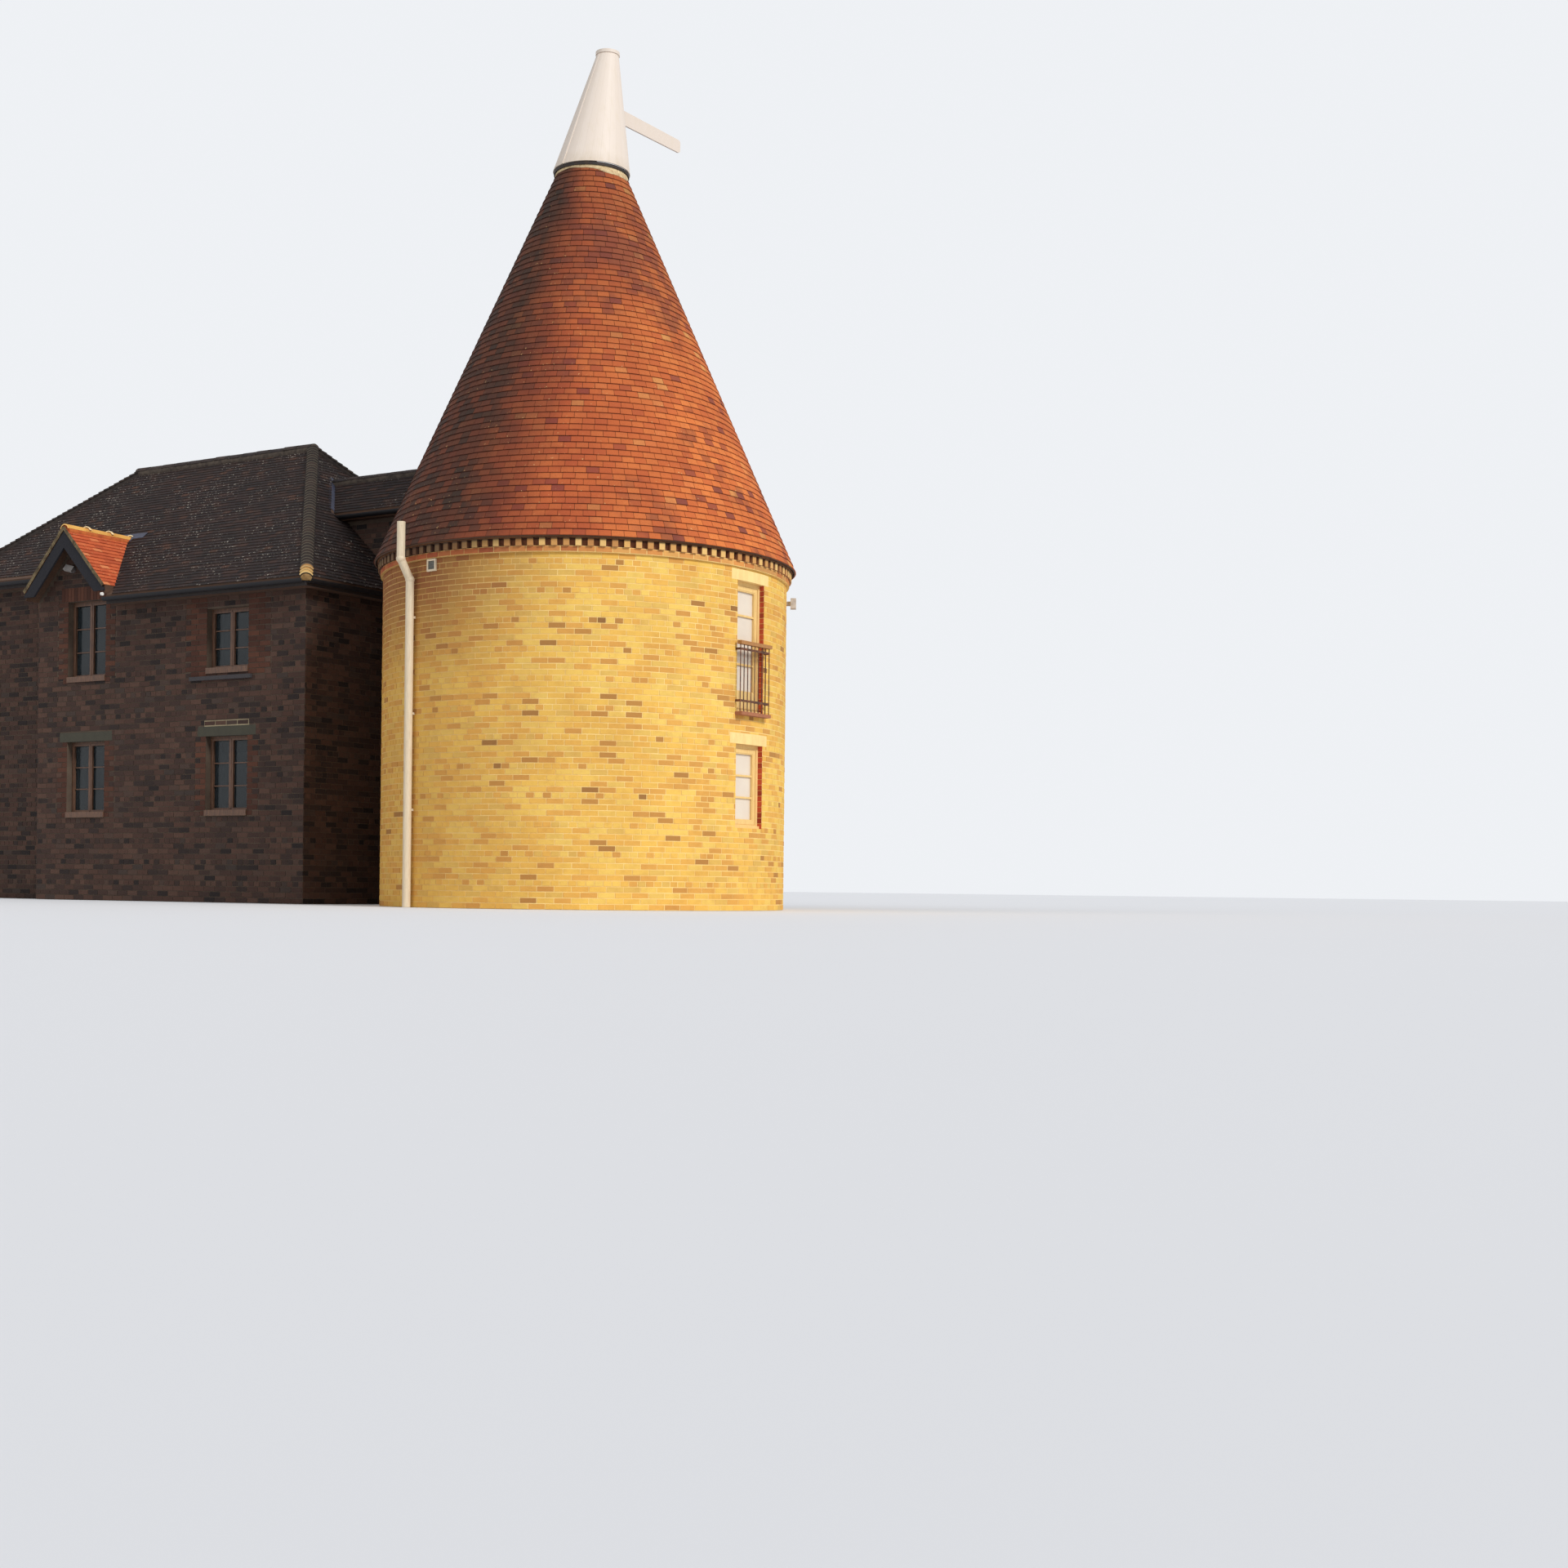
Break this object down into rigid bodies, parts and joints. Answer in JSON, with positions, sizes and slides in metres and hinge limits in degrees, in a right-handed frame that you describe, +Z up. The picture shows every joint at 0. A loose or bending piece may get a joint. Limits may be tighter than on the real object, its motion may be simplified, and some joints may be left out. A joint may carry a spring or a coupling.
{
  "type": "oast house",
  "caption": "Round brick hop kiln under a tall tiled cone with a turning white cowl and vane, joined by a narrow link to a hipped two-storey brick barn with a small gable",
  "frame": {"origin": "on the ground at the centre of the round kiln, under its ground floor", "axes": "+X runs along the barn's ridge from the barn to the kiln, +Y points to the back of the house, away from the side in the picture, +Z is up"},
  "size_m": [15.777, 7.1096, 12.3197],
  "materials": {
    "kiln_brick": "rough",
    "barn_brick": "rough",
    "concrete_floor": "rough",
    "floor_timber": "satin",
    "kiln_tiles": "rough",
    "barn_tiles": "rough",
    "gable_tiles": "rough",
    "black_iron": "matte",
    "bearing_iron": "matte",
    "cast_stone": "rough",
    "painted_joinery": "satin",
    "window_glass": "polished",
    "cream_plastic": "matte",
    "lamp_metal": "satin",
    "white_paint": "satin",
    "dark_boards": "matte",
    "brown_oak": "satin",
    "slate": "matte",
    "lead": "matte"
  },
  "bodies": {
    "house": {"kiln_wall_window_side": "kiln_brick", "kiln_wall_front": "kiln_brick", "kiln_wall_front_left": "kiln_brick", "kiln_wall_barn_side": "kiln_brick", "kiln_wall_back_left": "kiln_brick", "kiln_wall_back_right": "kiln_brick", "kiln_lower_band": "kiln_brick", "kiln_dentil_course": "kiln_brick", "kiln_upper_band": "kiln_brick", "kiln_ground_floor": "concrete_floor", "kiln_upper_floor": "floor_timber", "kiln_roof": "kiln_tiles", "kiln_curb_ring": "black_iron", "cowl_bearing_bar": "bearing_iron", "cowl_foot_beam": "floor_timber", "kiln_lintels": "cast_stone", "kiln_upper_window": "painted_joinery", "kiln_lower_window": "painted_joinery", "kiln_glass": "window_glass", "balcony_sill": "cast_stone", "balcony_railing": "black_iron", "balcony_handrail": "floor_timber", "wall_vent": "cream_plastic", "floodlight": "lamp_metal", "vent_pipe": "cream_plastic", "barn_front_wall": "barn_brick", "barn_far_walls": "barn_brick", "barn_back_wall": "barn_brick", "barn_hip_wall": "barn_brick", "barn_ground_floor": "concrete_floor", "barn_upper_floor": "floor_timber", "barn_roof": "barn_tiles", "barn_ridge_tiles": "barn_tiles", "barn_hip_tiles": "barn_tiles", "barn_eaves_boards": "dark_boards", "barn_gutters": "black_iron", "gable_roof": "gable_tiles", "gable_ridge_tiles": "gable_tiles", "gable_bargeboards": "dark_boards", "gable_lamp": "lamp_metal", "barn_lintels": "cast_stone", "barn_upper_windows": "brown_oak", "barn_lower_windows": "brown_oak", "barn_glass": "window_glass", "barn_slate_sill": "slate", "rear_door": "brown_oak", "link_front_wall": "barn_brick", "link_back_wall": "barn_brick", "link_roof": "barn_tiles", "link_ridge_tiles": "barn_tiles", "link_gutters": "black_iron", "link_flashing": "lead"},
    "cowl": {"cowl_shell": "white_paint", "cowl_cap": "white_paint", "cowl_arms": "bearing_iron", "cowl_post": "bearing_iron", "cowl_vane": "white_paint"}
  },
  "joints": [
    {"name": "cowl_turn", "type": "hinge", "parent": "house", "child": "cowl", "pos_m": [0, 0, 10.4], "axis": [0, 0, 1], "continuous": true}
  ]
}
